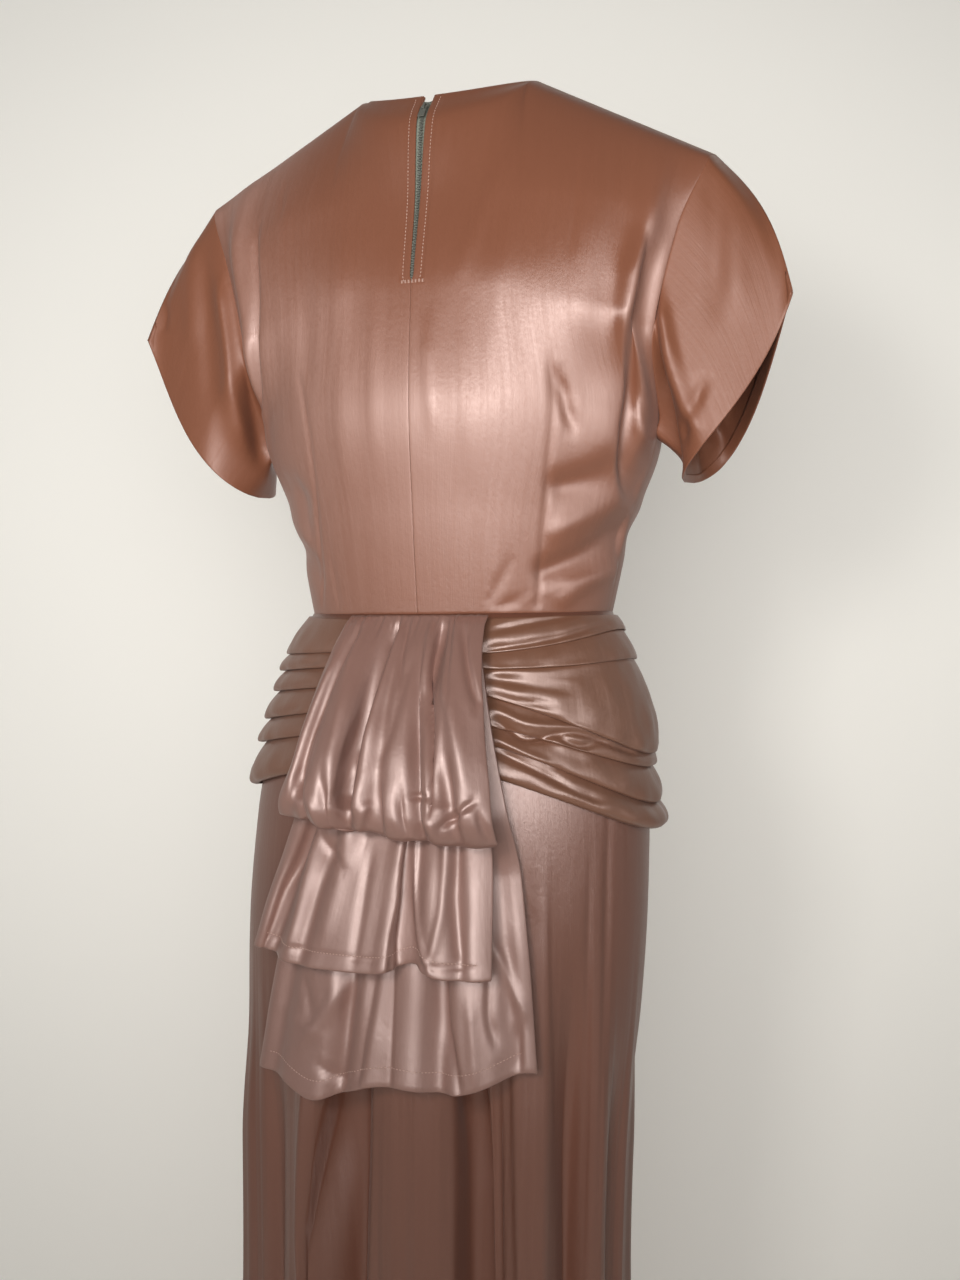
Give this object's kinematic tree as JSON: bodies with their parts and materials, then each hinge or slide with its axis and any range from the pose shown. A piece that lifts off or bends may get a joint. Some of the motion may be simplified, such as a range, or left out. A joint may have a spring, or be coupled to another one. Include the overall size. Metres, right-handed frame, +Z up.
{
  "type": "bustle dress",
  "caption": "Long satin evening gown, hollow as worn, with cap sleeves, a nape zip, pleated hip drapes and tiers of gathered cloth hanging from the back of the waist.",
  "frame": {"origin": "between the shoulders at the base of the neck, on the plane that halves the body", "axes": "+Z up, the front faces -Y, +X is the wearer's left"},
  "size_m": [0.524, 0.364, 1.4542],
  "materials": {
    "satin": "lustrous rosy brown satin, brighter across the folds",
    "zip_tape": "dull grey-green woven tape with a closed metal chain",
    "zip_metal": "dull grey metal with a greenish cast"
  },
  "bodies": {
    "dress": {"bodice_back_left": "satin", "bodice_back_right": "satin", "bodice_front": "satin", "sleeve_left": "satin", "sleeve_right": "satin", "skirt_back_left": "satin", "skirt_back_right": "satin", "skirt_front": "satin", "hip_drape_left": "satin", "hip_drape_right": "satin", "bustle_tier_top": "satin", "bustle_tier_middle": "satin", "bustle_tier_low": "satin", "zip_tape": "zip_tape", "zip_slider": "zip_metal"},
    "zip_pull": {"zip_pull": "zip_metal"}
  },
  "joints": [
    {"name": "zip_pull_swing", "type": "hinge", "parent": "dress", "child": "zip_pull", "pos_m": [0, 0.07278, -0.03575], "axis": [1, 0, 0], "range_deg": [0, 150]}
  ]
}
